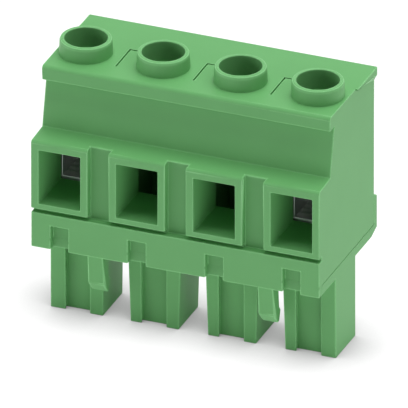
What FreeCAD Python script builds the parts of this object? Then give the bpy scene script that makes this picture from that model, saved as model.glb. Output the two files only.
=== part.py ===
import FreeCAD, Part
import os
import Sketcher
from FreeCAD import Placement, Rotation, Vector

# A four-position pluggable terminal block with rising-cage screw clamps, in millimetres.
# While a piece is drawn, X runs from the left end, Y runs back from the plane of the wire
# funnels and Z runs up from the tips of the plug prongs, so that every size is positive.
# Each piece is then moved so that the origin lies under the middle of the block.

os.makedirs("parts", exist_ok=True)
document = FreeCAD.newDocument("terminal_block")

# Driving dimensions

SIZES = [
    # Row of positions
    ("positions", 4),
    ("pitch", 10.16),
    ("end_margin", 3.70),            # from the outer funnels' middles to the ends
    # Side outline of the block
    ("prong_length", 10.94),
    ("base_thickness", 1.36),
    ("band_height", 4.79),           # coding band in front, from the base's underside
    ("band_thickness", 0.90),
    ("groove_height", 0.49),         # shadow groove between band and funnels
    ("groove_depth", 0.80),
    ("funnel_height", 9.28),
    ("roof_rise", 0.25),             # funnel roof's slope, up to the leaning wall
    ("wall_height", 6.65),           # from the roof's front to the underside of the top plate
    ("wall_foot_setback", 3.65),
    ("wall_top_setback", 5.05),
    ("plate_thickness", 1.90),
    ("plate_setback", 3.64),
    ("plate_lip", 0.20),
    ("plate_lip_thickness", 1.20),
    ("plate_lip_taper", 0.50),
    ("plate_edge_radius", 0.50),
    ("roof_edge_radius", 0.40),
    ("body_depth", 19.30),
    ("skirt_thickness", 1.00),
    ("skirt_height", 5.50),
    ("skirt_bevel", 0.50),
    ("skirt_corner_rise", 0.62),
    ("skirt_corner_run", 1.90),
    # Ends of the top plate, which nest with a neighbouring block
    ("nest_setback", 12.00),
    ("nest_step", 0.37),
    ("nest_height", 1.10),
    ("nest_taper", 0.65),
    # Marks of the mould inserts on the top plate
    ("mark_width", 0.26),
    ("mark_depth", 0.30),
    ("mark_offset", 4.65),           # from a screw axis to the mark on its right
    ("mark_start", 6.80),
    ("mark_end", 11.70),
    ("mark_foot", 2.40),
    # Wire funnels
    ("funnel_width", 7.40),
    ("recess_depth", 1.08),          # between two funnels
    ("mouth_width", 5.48),
    ("mouth_floor_wall", 0.75),
    ("mouth_roof_wall", 1.15),
    ("throat_width", 4.10),
    ("throat_rise", 0.85),
    ("throat_height", 4.85),
    # Coding slots in the band
    ("slot_width", 2.32),
    ("slot_height", 3.20),
    # Screw collars
    ("collar_height", 2.10),
    ("collar_radius", 3.23),         # at the rim, the foot is wider by the draft
    ("collar_draft", 0.09),
    ("driver_bore_radius", 2.66),
    ("driver_bore_depth", 2.75),
    # Clamping screw
    ("screw_setback", 8.95),
    ("head_radius", 2.35),
    ("head_height", 2.20),
    ("head_depth", 2.80),            # head's top below the collar's rim
    ("shank_radius", 1.92),
    ("slot_in_head_width", 0.80),
    ("slot_in_head_depth", 1.10),
    # Tension sleeve, the cage that the screw lifts
    ("sleeve_width", 5.90),
    ("sleeve_wall", 1.00),
    ("sleeve_floor", 1.00),
    ("sleeve_roof", 1.80),
    ("sleeve_length", 5.60),
    ("sleeve_window", 5.80),         # height inside the cage
    ("sleeve_corner_radius", 0.60),
    ("sleeve_step", 0.28),           # open cage's floor above the throat's floor
    ("sleeve_travel", 4.20),
    ("rib_depth", 0.20),
    ("rib_spacing", 1.20),
    ("rib_count", 3),
    # Current bar and fork contact, one bent strip
    ("strip_thickness", 0.90),
    ("strip_width", 3.40),
    ("wire_space", 4.50),            # from the open cage's floor to the bar
    ("bar_front_gap", 0.30),         # bar's front edge behind the cage's front
    ("bend_radius", 0.30),
    ("pin_setback", 9.20),
    ("fork_root_gap", 1.00),         # half the space between the leaves at their root
    ("fork_touch_gap", 0.35),
    ("fork_mouth_gap", 0.85),
    ("fork_straight", 3.20),
    ("fork_touch_height", 4.40),
    ("fork_tip_height", 2.40),
    # Over-spring that presses the fork's leaves together
    ("spring_thickness", 0.30),
    ("spring_ring_height", 2.20),
    ("spring_ring_drop", 0.50),      # ring's top below the base's top face
    ("spring_arm_width", 2.20),
    ("spring_foot_height", 5.00),
    # Plug prongs
    ("prong_setback", 5.43),
    ("prong_depth", 6.72),
    ("prong_left", 3.34),            # from the position's middle to the prong's left face
    ("prong_right", 3.70),
    ("prong_rib_left", 1.90),
    ("prong_rib_right", 1.70),
    ("prong_panel_depth", 0.90),
    ("prong_front_draft", 0.13),     # how far the front leans back over the prong's length
    ("prong_gap_draft", 0.34),       # the same for each side of a gap between prongs
    ("prong_floor", 1.20),
    ("pin_mouth", 1.70),
    ("pin_lead", 0.50),
    # Latch hooks
    ("hook_offset", 11.18),          # from the middle of the block
    ("hook_width", 2.05),
    ("hook_length", 6.20),
    ("hook_setback", 1.50),
    ("hook_root", 2.00),
    ("hook_lean", 0.55),             # how far the front leans back down to the nose
    ("hook_nose_height", 1.50),
    ("hook_nose_radius", 0.80),
    ("hook_tip_setback", 3.30),
    ("hook_rear_setback", 3.85),
    ("hook_barb_setback", 4.30),
    ("hook_barb_height", 1.35),      # above the tip
    ("hook_barb_rise", 0.60),
    # Clearances
    ("sleeve_clearance", 0.15),
    ("thread_clearance", 0.08),
    ("shank_clearance", 0.28),
    ("head_clearance", 0.10),
    ("seat_clearance", 0.10),
    ("contact_clearance", 0.15),
    ("spring_clearance", 0.05),
    ("travel_clearance", 0.30),
]

sheet = document.addObject("Spreadsheet::Sheet", "sizes")
for row, (alias, value) in enumerate(SIZES, start=1):
    sheet.set(f"A{row}", alias)
    sheet.set(f"B{row}", str(value))
    sheet.setAlias(f"B{row}", alias)
document.recompute()

# Places that several pieces share, as expressions of the sheet's cells

WIDTH = "((sizes.positions - 1) * sizes.pitch + 2 * sizes.end_margin)"
ROW_LENGTH = "((sizes.positions - 1) * sizes.pitch)"
GAP_ROW_LENGTH = "((sizes.positions - 2) * sizes.pitch)"

REAR_WALL = "(sizes.body_depth - sizes.skirt_thickness)"
PLATE_REAR = f"({REAR_WALL} + sizes.plate_lip)"

BASE_TOP = "(sizes.prong_length + sizes.base_thickness)"
BAND_TOP = "(sizes.prong_length + sizes.band_height)"
FUNNEL_FOOT = f"({BAND_TOP} + sizes.groove_height)"
ROOF = f"({FUNNEL_FOOT} + sizes.funnel_height)"
PLATE_UNDER = f"({ROOF} + sizes.wall_height)"
PLATE_TOP = f"({PLATE_UNDER} + sizes.plate_thickness)"
COLLAR_TOP = f"({PLATE_TOP} + sizes.collar_height)"

THROAT_FLOOR = f"({FUNNEL_FOOT} + sizes.mouth_floor_wall + sizes.throat_rise)"
CAGE_FLOOR = f"({THROAT_FLOOR} + sizes.sleeve_step)"
CAGE_ROOF = f"({CAGE_FLOOR} + sizes.sleeve_window)"
CAGE_TOP = f"({CAGE_ROOF} + sizes.sleeve_roof)"
CAGE_FRONT = "(sizes.screw_setback - sizes.sleeve_length / 2)"
CAGE_REAR = "(sizes.screw_setback + sizes.sleeve_length / 2)"
BAR_UNDER = f"({CAGE_FLOOR} + sizes.wire_space)"
BAR_TOP = f"({BAR_UNDER} + sizes.strip_thickness)"
HEAD_TOP = f"({COLLAR_TOP} - sizes.head_depth)"
HEAD_SEAT = f"({HEAD_TOP} - sizes.head_height)"
STRIP_FRONT = f"({CAGE_REAR} + sizes.travel_clearance)"
STRIP_REAR = f"({STRIP_FRONT} + sizes.strip_thickness)"

CAVITY_FRONT = f"({CAGE_FRONT} - sizes.sleeve_clearance)"
CAVITY_REAR = f"({STRIP_REAR} + sizes.contact_clearance)"
CAVITY_TOP = f"({CAGE_TOP} + sizes.sleeve_travel + sizes.travel_clearance)"
CAVITY_HALF = "(sizes.sleeve_width / 2 + sizes.sleeve_clearance)"

SPRING_REACH = "(sizes.spring_clearance + sizes.spring_thickness)"
FORK_FRONT = "(sizes.pin_setback - sizes.fork_root_gap - sizes.strip_thickness)"
FORK_REAR = "(sizes.pin_setback + sizes.fork_root_gap + sizes.strip_thickness)"


def number(expression):
    """Value of an expression of the sheet's cells."""
    return float(sheet.evalExpression(expression))


def new_body(name):
    """A body with its own label, which is also the name of its file."""
    body = document.addObject("PartDesign::Body", name)
    body.Label = name
    return body


def origin_feature(body, role):
    """One of the body's own origin planes or axes."""
    for feature in body.Origin.OriginFeatures:
        if feature.Role == role:
            return feature
    raise ValueError(role)


def new_sketch(body, name, role, offset=None, across=None, up=None):
    """A sketch on an origin plane, moved along the plane's normal and within the plane."""
    sketch = body.newObject("Sketcher::SketchObject", name)
    sketch.AttachmentSupport = [(origin_feature(body, role), "")]
    sketch.MapMode = "FlatFace"
    for axis, expression in (("z", offset), ("x", across), ("y", up)):
        if expression is not None:
            sketch.setExpression(f"AttachmentOffset.Base.{axis}", expression)
    return sketch


def bind(sketch, kind, items, expression):
    """A distance or radius of a sketch, tied to the sheet."""
    index = sketch.addConstraint(Sketcher.Constraint(kind, *items, number(expression)))
    sketch.setExpression(f"Constraints[{index}]", expression)


def add_polygon(sketch, points):
    """A closed outline whose corners are pairs of expressions."""
    first = sketch.GeometryCount
    corners = [Vector(number(across), number(up), 0) for across, up in points]
    count = len(corners)
    for index in range(count):
        line = Part.LineSegment(corners[index], corners[(index + 1) % count])
        sketch.addGeometry(line, False)
    for index in range(count):
        following = first + (index + 1) % count
        sketch.addConstraint(Sketcher.Constraint("Coincident", first + index, 2, following, 1))
    for index, (across, up) in enumerate(points):
        bind(sketch, "DistanceX", (-1, 1, first + index, 1), across)
        bind(sketch, "DistanceY", (-1, 1, first + index, 1), up)


def add_rectangle(sketch, left, right, bottom, top):
    """A rectangle between four expressions."""
    add_polygon(sketch, [(left, bottom), (right, bottom), (right, top), (left, top)])


def add_circle(sketch, across, up, radius):
    """A circle whose middle and radius are expressions."""
    middle = Vector(number(across), number(up), 0)
    index = sketch.addGeometry(Part.Circle(middle, Vector(0, 0, 1), number(radius)), False)
    bind(sketch, "DistanceX", (-1, 1, index, 3), across)
    bind(sketch, "DistanceY", (-1, 1, index, 3), up)
    bind(sketch, "Radius", (index,), radius)


def extrude(body, kind, name, sketch, length, reverse=False):
    """A pad or a pocket of the given length."""
    feature = body.newObject(f"PartDesign::{kind}", name)
    feature.Profile = sketch
    feature.setExpression("Length", length)
    feature.Reversed = reverse
    return feature


def revolve(body, kind, name, sketch):
    """A full turn of a sketch about its own vertical axis."""
    feature = body.newObject(f"PartDesign::{kind}", name)
    feature.Profile = sketch
    feature.ReferenceAxis = (sketch, ["V_Axis"])
    feature.Angle = 360
    return feature


def repeat(body, name, features, count, length):
    """Copies of features along the row."""
    pattern = body.newObject("PartDesign::LinearPattern", name)
    pattern.Originals = features
    pattern.Direction = (origin_feature(body, "X_Axis"), [""])
    pattern.setExpression("Length", length)
    pattern.setExpression("Occurrences", count)
    body.Tip = pattern
    document.recompute()
    return pattern


def round_edges(body, name, radius, wanted):
    """A fillet on the edges of the body's tip that pass the test."""
    document.recompute()
    base = body.Tip
    edges = [f"Edge{index}" for index, edge in enumerate(base.Shape.Edges, start=1) if wanted(edge)]
    fillet = body.newObject("PartDesign::Fillet", name)
    fillet.Base = (base, edges)
    fillet.setExpression("Radius", radius)
    document.recompute()
    return fillet


def along_x(edge, y, z):
    """Whether an edge runs along X through the given place."""
    near = 1e-4
    ends = [vertex.Point for vertex in edge.Vertexes]
    on_line = all(abs(end.y - y) < near and abs(end.z - z) < near for end in ends)
    return len(ends) == 2 and on_line


def place(piece, across="0", back="0", up="0"):
    """Moves a drawn piece into the block's frame, the origin under the middle of the block."""
    piece.setExpression("Placement.Base.x", f"{across} - ({WIDTH} + sizes.nest_step) / 2")
    piece.setExpression("Placement.Base.y", f"{back} - sizes.body_depth / 2")
    piece.setExpression("Placement.Base.z", up)


def position_middle(index):
    """Distance from the left end to the middle of a position, counted from 0."""
    return f"(sizes.end_margin + {index} * sizes.pitch)"


# Upper housing: funnels, leaning wall, top plate and screw collars, one moulding

def make_upper_housing():
    body = new_body("upper_housing")
    middle = position_middle(0)

    side = new_sketch(body, "side_outline", "YZ_Plane")
    add_polygon(side, [
        ("0", "sizes.prong_length"),
        ("0", BAND_TOP),
        ("sizes.groove_depth", BAND_TOP),
        ("sizes.groove_depth", FUNNEL_FOOT),
        ("0", FUNNEL_FOOT),
        ("0", ROOF),
        ("sizes.wall_foot_setback", f"{ROOF} + sizes.roof_rise"),
        ("sizes.wall_top_setback", PLATE_UNDER),
        ("sizes.plate_setback", PLATE_UNDER),
        ("sizes.plate_setback", PLATE_TOP),
        (PLATE_REAR, PLATE_TOP),
        (PLATE_REAR, f"{PLATE_TOP} - sizes.plate_lip_thickness"),
        (REAR_WALL, f"{PLATE_TOP} - sizes.plate_lip_thickness - sizes.plate_lip_taper"),
        (REAR_WALL, BASE_TOP),
        ("sizes.band_thickness", BASE_TOP),
        ("sizes.band_thickness", "sizes.prong_length"),
    ])
    extrude(body, "Pad", "block", side, WIDTH)

    plate_edge = number("sizes.plate_setback"), number(PLATE_TOP)
    round_edges(body, "plate_edge", "sizes.plate_edge_radius", lambda edge: along_x(edge, *plate_edge))
    roof_edge = 0, number(ROOF)
    round_edges(body, "roof_edge", "sizes.roof_edge_radius", lambda edge: along_x(edge, *roof_edge))

    # The rear part of the top plate stands out at the right end and in at the left end.
    nest_profile = [
        ("{end}", PLATE_TOP),
        ("{end} + sizes.nest_step", PLATE_TOP),
        ("{end} + sizes.nest_step", f"{PLATE_TOP} - sizes.nest_height"),
        ("{end}", f"{PLATE_TOP} - sizes.nest_height - sizes.nest_taper"),
    ]
    for kind, name, end in (("Pad", "nest_tongue", WIDTH), ("Pocket", "nest_notch", "0")):
        profile = new_sketch(body, f"{name}_outline", "XZ_Plane", offset="-sizes.nest_setback")
        add_polygon(profile, [(across.format(end=end), up) for across, up in nest_profile])
        length = f"{PLATE_REAR} - sizes.nest_setback"
        extrude(body, kind, name, profile, length, reverse=kind == "Pad")

    # The wall between two funnels lies back, from the groove up through the roof's edge.
    gap_left = f"({middle} + sizes.funnel_width / 2)"
    gap_right = f"({middle} + sizes.pitch - sizes.funnel_width / 2)"
    gap = new_sketch(body, "funnel_gap_outline", "XZ_Plane")
    add_rectangle(gap, gap_left, gap_right, BAND_TOP, f"{ROOF} + sizes.roof_rise + sizes.roof_edge_radius")
    recess = extrude(body, "Pocket", "funnel_gap", gap, "sizes.recess_depth")

    # Each angled mark runs back beside a collar and then across behind the next one.
    mark_left = f"({middle} + sizes.mark_offset)"
    mark = new_sketch(body, "mould_mark_outline", "XY_Plane", offset=PLATE_TOP)
    add_polygon(mark, [
        (mark_left, "sizes.mark_start"),
        (f"{mark_left} + sizes.mark_width", "sizes.mark_start"),
        (f"{mark_left} + sizes.mark_width", "sizes.mark_end - sizes.mark_width"),
        (f"{mark_left} + sizes.mark_foot", "sizes.mark_end - sizes.mark_width"),
        (f"{mark_left} + sizes.mark_foot", "sizes.mark_end"),
        (mark_left, "sizes.mark_end"),
    ])
    mark_cut = extrude(body, "Pocket", "mould_mark", mark, "sizes.mark_depth")
    repeat(body, "gap_row", [recess, mark_cut], "sizes.positions - 1", GAP_ROW_LENGTH)

    collar = new_sketch(body, "collar_outline", "XZ_Plane", offset="-sizes.screw_setback", across=middle)
    foot_radius = "sizes.collar_radius + sizes.collar_draft"
    add_polygon(collar, [
        ("0", PLATE_UNDER),
        (foot_radius, PLATE_UNDER),
        (foot_radius, PLATE_TOP),
        ("sizes.collar_radius", COLLAR_TOP),
        ("0", COLLAR_TOP),
    ])
    collar_turn = revolve(body, "Revolution", "collar", collar)

    slot = new_sketch(body, "coding_slot_outline", "XZ_Plane")
    slot_left = f"{middle} - sizes.slot_width / 2"
    slot_right = f"{middle} + sizes.slot_width / 2"
    slot_top = "sizes.prong_length + sizes.slot_height"
    add_rectangle(slot, slot_left, slot_right, "sizes.prong_length", slot_top)
    slot_cut = extrude(body, "Pocket", "coding_slot", slot, "sizes.band_thickness")

    mouth = new_sketch(body, "mouth_outline", "XZ_Plane")
    add_rectangle(mouth, f"{middle} - sizes.mouth_width / 2", f"{middle} + sizes.mouth_width / 2",
                  f"{FUNNEL_FOOT} + sizes.mouth_floor_wall", f"{ROOF} - sizes.mouth_roof_wall")
    throat = new_sketch(body, "throat_outline", "XZ_Plane", offset=f"-{CAVITY_FRONT}")
    add_rectangle(throat, f"{middle} - sizes.throat_width / 2", f"{middle} + sizes.throat_width / 2",
                  THROAT_FLOOR, f"{THROAT_FLOOR} + sizes.throat_height")
    funnel = body.newObject("PartDesign::SubtractiveLoft", "funnel")
    funnel.Profile = mouth
    funnel.Sections = [throat]
    funnel.Ruled = True

    cavity = new_sketch(body, "clamp_cavity_outline", "XY_Plane", offset=BASE_TOP)
    add_rectangle(cavity, f"{middle} - {CAVITY_HALF}", f"{middle} + {CAVITY_HALF}",
                  CAVITY_FRONT, CAVITY_REAR)
    cavity_cut = extrude(body, "Pocket", "clamp_cavity", cavity, f"{CAVITY_TOP} - {BASE_TOP}", reverse=True)

    # Stepped screw shaft: passage for the shank, seat for the head, bore for the driver
    shaft = new_sketch(body, "screw_shaft_outline", "XZ_Plane", offset="-sizes.screw_setback", across=middle)
    shank_hole = "sizes.shank_radius + sizes.shank_clearance"
    head_hole = "sizes.head_radius + sizes.head_clearance"
    seat_height = f"{HEAD_SEAT} - sizes.seat_clearance"
    bore_foot = f"{COLLAR_TOP} - sizes.driver_bore_depth"
    add_polygon(shaft, [
        ("0", f"{CAVITY_TOP} - sizes.travel_clearance"),
        (shank_hole, f"{CAVITY_TOP} - sizes.travel_clearance"),
        (shank_hole, seat_height),
        (head_hole, seat_height),
        (head_hole, bore_foot),
        ("sizes.driver_bore_radius", bore_foot),
        ("sizes.driver_bore_radius", f"{COLLAR_TOP} + sizes.travel_clearance"),
        ("0", f"{COLLAR_TOP} + sizes.travel_clearance"),
    ])
    shaft_cut = revolve(body, "Groove", "screw_shaft", shaft)
    per_position = [collar_turn, slot_cut, funnel, cavity_cut, shaft_cut]
    repeat(body, "position_row", per_position, "sizes.positions", ROW_LENGTH)
    place(body)
    return body


# Plug base: floor plate, rear skirt, hollow prongs and latch hooks, one moulding

def make_plug_base():
    body = new_body("plug_base")
    middle = position_middle(0)

    side = new_sketch(body, "side_outline", "YZ_Plane")
    add_polygon(side, [
        ("sizes.band_thickness", "sizes.prong_length"),
        ("sizes.band_thickness", BASE_TOP),
        (REAR_WALL, BASE_TOP),
        (REAR_WALL, "sizes.prong_length + sizes.skirt_height"),
        ("sizes.body_depth", "sizes.prong_length + sizes.skirt_height - sizes.skirt_bevel"),
        ("sizes.body_depth", "sizes.prong_length + sizes.skirt_corner_rise"),
        ("sizes.body_depth - sizes.skirt_corner_run", "sizes.prong_length"),
    ])
    extrude(body, "Pad", "floor", side, WIDTH)

    # A hook hangs in front of the prongs, with a sloped nose and a small barb at the rear.
    tip = "sizes.prong_length - sizes.hook_length"
    nose = "sizes.hook_setback + sizes.hook_lean", f"{tip} + sizes.hook_nose_height"
    for name, sign in (("left_hook", "-"), ("right_hook", "+")):
        near_side = f"{WIDTH} / 2 {sign} sizes.hook_offset - sizes.hook_width / 2"
        hook = new_sketch(body, f"{name}_outline", "YZ_Plane", offset=near_side)
        add_polygon(hook, [
            ("sizes.hook_setback", "sizes.prong_length"),
            nose,
            ("sizes.hook_tip_setback", tip),
            ("sizes.hook_rear_setback", tip),
            ("sizes.hook_barb_setback", f"{tip} + sizes.hook_barb_height"),
            ("sizes.hook_rear_setback", f"{tip} + sizes.hook_barb_height + sizes.hook_barb_rise"),
            ("sizes.hook_setback + sizes.hook_root", "sizes.prong_length"),
        ])
        extrude(body, "Pad", name, hook, "sizes.hook_width")
    nose_edge = [number(expression) for expression in nose]
    round_edges(body, "hook_noses", "sizes.hook_nose_radius", lambda edge: along_x(edge, *nose_edge))

    # The prong's front leans back a little and has a sunk panel between two ribs.
    left = f"({middle} - sizes.prong_left)"
    right = f"({middle} + sizes.prong_right)"
    rear = "sizes.prong_setback + sizes.prong_depth"
    outline = new_sketch(body, "prong_outline", "YZ_Plane", offset=left)
    add_polygon(outline, [
        ("sizes.prong_setback", "sizes.prong_length"),
        (rear, "sizes.prong_length"),
        (rear, "0"),
        ("sizes.prong_setback + sizes.prong_front_draft", "0"),
    ])
    prong = extrude(body, "Pad", "prong", outline, "sizes.prong_left + sizes.prong_right")
    panel = new_sketch(body, "prong_panel_outline", "XZ_Plane", offset="-sizes.prong_setback")
    add_rectangle(panel, f"{left} + sizes.prong_rib_left", f"{right} - sizes.prong_rib_right",
                  "0", "sizes.prong_length")
    panel_cut = extrude(body, "Pocket", "prong_panel", panel, "sizes.prong_panel_depth")

    cell = new_sketch(body, "contact_cell_outline", "XY_Plane", offset=BASE_TOP)
    room = f"({SPRING_REACH} + sizes.contact_clearance)"
    half = f"(sizes.strip_width / 2 + {room})"
    add_rectangle(cell, f"{middle} - {half}", f"{middle} + {half}",
                  f"{FORK_FRONT} - {room}", f"{FORK_REAR} + {room}")
    cell_cut = extrude(body, "Pocket", "contact_cell", cell, f"{BASE_TOP} - sizes.prong_floor")

    # The pin enters through a square mouth that widens downwards.
    mouth = new_sketch(body, "pin_mouth_outline", "XY_Plane")
    lip = new_sketch(body, "pin_mouth_neck", "XY_Plane", offset="sizes.prong_floor")
    for sketch, extra in ((mouth, " + sizes.pin_lead"), (lip, "")):
        reach = f"(sizes.pin_mouth / 2{extra})"
        add_rectangle(sketch, f"{middle} - {reach}", f"{middle} + {reach}",
                      f"sizes.pin_setback - {reach}", f"sizes.pin_setback + {reach}")
    pin_mouth = body.newObject("PartDesign::SubtractiveLoft", "pin_mouth")
    pin_mouth.Profile = mouth
    pin_mouth.Sections = [lip]
    pin_mouth.Ruled = True
    per_position = [prong, panel_cut, cell_cut, pin_mouth]
    repeat(body, "position_row", per_position, "sizes.positions", ROW_LENGTH)

    # A gap between two prongs widens downwards.
    next_left = f"({middle} + sizes.pitch - sizes.prong_left)"
    gap = new_sketch(body, "prong_gap_outline", "XZ_Plane", offset="-sizes.prong_setback")
    add_polygon(gap, [
        (right, "sizes.prong_length"),
        (next_left, "sizes.prong_length"),
        (f"{next_left} + sizes.prong_gap_draft", "0"),
        (f"{right} - sizes.prong_gap_draft", "0"),
    ])
    gap_cut = extrude(body, "Pocket", "prong_gap", gap, "sizes.prong_depth")
    repeat(body, "gap_row", [gap_cut], "sizes.positions - 1", GAP_ROW_LENGTH)
    place(body)
    return body


# Clamping screws, turned with a slotted cheese head

def make_screw(index):
    body = new_body(f"clamp_screw_{index + 1}")
    outline = new_sketch(body, "screw_outline", "XZ_Plane")
    tip = f"({BAR_TOP} + sizes.seat_clearance - {HEAD_SEAT})"
    add_polygon(outline, [
        ("0", tip),
        ("sizes.shank_radius", tip),
        ("sizes.shank_radius", "0"),
        ("sizes.head_radius", "0"),
        ("sizes.head_radius", "sizes.head_height"),
        ("0", "sizes.head_height"),
    ])
    revolve(body, "Revolution", "turned_form", outline)
    slot = new_sketch(body, "slot_outline", "XY_Plane", offset="sizes.head_height")
    add_rectangle(slot, "-1.5 * sizes.head_radius", "1.5 * sizes.head_radius",
                  "-sizes.slot_in_head_width / 2", "sizes.slot_in_head_width / 2")
    extrude(body, "Pocket", "driver_slot", slot, "sizes.slot_in_head_depth")
    place(body, position_middle(index), "sizes.screw_setback", HEAD_SEAT)
    return body


# Tension sleeves: the wire lies on the ribbed floor and the screw draws the roof up.
# The outer two stand open, the inner two are screwed up, as in the picture.

def make_sleeve(index, raised):
    body = new_body(f"tension_sleeve_{index + 1}")
    half = "sizes.sleeve_width / 2"
    inner = f"({half} - sizes.sleeve_wall)"
    frame = new_sketch(body, "frame_outline", "XZ_Plane")
    add_rectangle(frame, f"-{half}", half, "-sizes.sleeve_floor", "sizes.sleeve_window + sizes.sleeve_roof")
    add_rectangle(frame, f"-{inner}", inner, "0", "sizes.sleeve_window")
    extrude(body, "Pad", "frame", frame, "sizes.sleeve_length", reverse=True)

    reach = number(half)

    def outer_corner(edge):
        ends = [vertex.Point for vertex in edge.Vertexes]
        along_y = len(ends) == 2 and abs(ends[0].y - ends[1].y) > 1
        return along_y and abs(abs(ends[0].x) - reach) < 1e-4

    round_edges(body, "frame_corners", "sizes.sleeve_corner_radius", outer_corner)

    top = "sizes.sleeve_window + sizes.sleeve_roof"
    thread = new_sketch(body, "thread_hole_outline", "XY_Plane", offset=top)
    add_circle(thread, "0", "sizes.sleeve_length / 2", "sizes.shank_radius + sizes.thread_clearance")
    extrude(body, "Pocket", "thread_hole", thread, "sizes.sleeve_roof")

    # Three grooves across the floor grip the wire.
    spread = "(sizes.rib_count - 1) * sizes.rib_spacing"
    start = f"(sizes.sleeve_length - {spread}) / 2"
    groove = new_sketch(body, "grip_groove_outline", "YZ_Plane", offset=f"-{inner}")
    add_polygon(groove, [
        (f"{start} - sizes.rib_depth", "0"),
        (start, "-sizes.rib_depth"),
        (f"{start} + sizes.rib_depth", "0"),
    ])
    groove_cut = extrude(body, "Pocket", "grip_groove", groove, f"2 * {inner}", reverse=True)
    pattern = body.newObject("PartDesign::LinearPattern", "grip_grooves")
    pattern.Originals = [groove_cut]
    pattern.Direction = (origin_feature(body, "Y_Axis"), [""])
    pattern.setExpression("Length", spread)
    pattern.setExpression("Occurrences", "sizes.rib_count")
    body.Tip = pattern
    lift = f"{CAGE_FLOOR} + sizes.sleeve_travel" if raised else CAGE_FLOOR
    place(body, position_middle(index), CAGE_FRONT, lift)
    return body


# Contacts: the current bar over the wire, the strip down the back and the fork for the
# pin are one bent strip

def make_contact(index):
    body = new_body(f"contact_{index + 1}")
    strip = "sizes.strip_thickness"
    bar_front = f"{CAGE_FRONT} + sizes.bar_front_gap"
    knee = f"{BASE_TOP} - sizes.fork_straight"

    def leaf(gap, side, outer):
        thickness = f" {side} {strip}" if outer else ""
        return f"sizes.pin_setback {side} sizes.fork_{gap}_gap{thickness}"

    profile = new_sketch(body, "strip_outline", "YZ_Plane", offset="-sizes.strip_width / 2")
    add_polygon(profile, [
        (bar_front, BAR_UNDER),
        (STRIP_FRONT, BAR_UNDER),
        (STRIP_FRONT, f"{BASE_TOP} + {strip}"),
        (leaf("root", "-", True), f"{BASE_TOP} + {strip}"),
        (leaf("root", "-", True), knee),
        (leaf("touch", "-", True), "sizes.fork_touch_height"),
        (leaf("mouth", "-", True), "sizes.fork_tip_height"),
        (leaf("mouth", "-", False), "sizes.fork_tip_height"),
        (leaf("touch", "-", False), "sizes.fork_touch_height"),
        (leaf("root", "-", False), knee),
        (leaf("root", "-", False), BASE_TOP),
        (leaf("root", "+", False), BASE_TOP),
        (leaf("root", "+", False), knee),
        (leaf("touch", "+", False), "sizes.fork_touch_height"),
        (leaf("mouth", "+", False), "sizes.fork_tip_height"),
        (leaf("mouth", "+", True), "sizes.fork_tip_height"),
        (leaf("touch", "+", True), "sizes.fork_touch_height"),
        (leaf("root", "+", True), knee),
        (leaf("root", "+", True), BASE_TOP),
        (STRIP_REAR, BASE_TOP),
        (STRIP_REAR, BAR_TOP),
        (bar_front, BAR_TOP),
    ])
    extrude(body, "Pad", "strip", profile, "sizes.strip_width")

    def at(*places):
        spots = [(number(y), number(z)) for y, z in places]
        return lambda edge: any(along_x(edge, *spot) for spot in spots)

    shelf_top = f"{BASE_TOP} + {strip}"
    inner_bends = at((STRIP_FRONT, BAR_UNDER), (STRIP_FRONT, shelf_top),
                     (leaf("root", "-", False), BASE_TOP), (leaf("root", "+", False), BASE_TOP),
                     (leaf("touch", "-", False), "sizes.fork_touch_height"),
                     (leaf("touch", "+", False), "sizes.fork_touch_height"))
    round_edges(body, "inner_bends", "sizes.bend_radius", inner_bends)
    outer_bends = at((STRIP_REAR, BAR_TOP), (leaf("root", "-", True), shelf_top))
    round_edges(body, "outer_bends", f"sizes.bend_radius + {strip} / 2", outer_bends)
    place(body, position_middle(index))
    return body


# Over-springs: a steel ring round the fork with an arm on each leaf

def make_spring(index):
    body = new_body(f"contact_spring_{index + 1}")
    gap = "sizes.spring_clearance"
    wall = "sizes.spring_thickness"
    half = f"(sizes.strip_width / 2 + {gap})"
    top = f"{BASE_TOP} - sizes.spring_ring_drop"
    ring = new_sketch(body, "ring_outline", "XY_Plane", offset=top)
    add_rectangle(ring, f"-{half} - {wall}", f"{half} + {wall}",
                  f"{FORK_FRONT} - {gap} - {wall}", f"{FORK_REAR} + {gap} + {wall}")
    add_rectangle(ring, f"-{half}", half, f"{FORK_FRONT} - {gap}", f"{FORK_REAR} + {gap}")
    extrude(body, "Pad", "ring", ring, "sizes.spring_ring_height", reverse=True)

    # Each arm follows the outer face of its leaf down to near the point of touch.
    ring_foot = f"({top} - sizes.spring_ring_height)"
    knee = f"({BASE_TOP} - sizes.fork_straight)"
    bend = f"({knee} - sizes.fork_touch_height)"
    lean = f"((sizes.fork_root_gap - sizes.fork_touch_gap) * ({knee} - sizes.spring_foot_height) / {bend})"
    for name, side, face in (("front_arm", "-", FORK_FRONT), ("rear_arm", "+", FORK_REAR)):
        inward = "+" if side == "-" else "-"
        near = f"{face} {side} {gap}"
        far = f"{near} {side} {wall}"
        arm = new_sketch(body, f"{name}_outline", "YZ_Plane", offset="-sizes.spring_arm_width / 2")
        add_polygon(arm, [
            (near, ring_foot),
            (near, knee),
            (f"{near} {inward} {lean}", "sizes.spring_foot_height"),
            (f"{far} {inward} {lean}", "sizes.spring_foot_height"),
            (far, knee),
            (far, ring_foot),
        ])
        extrude(body, "Pad", name, arm, "sizes.spring_arm_width")
    place(body, position_middle(index))
    return body


pieces = [make_upper_housing(), make_plug_base()]
position_count = int(number("sizes.positions"))
for index in range(position_count):
    at_the_end = index in (0, position_count - 1)
    pieces.append(make_screw(index))
    pieces.append(make_sleeve(index, raised=not at_the_end))
    pieces.append(make_contact(index))
    pieces.append(make_spring(index))
document.recompute()

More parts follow.
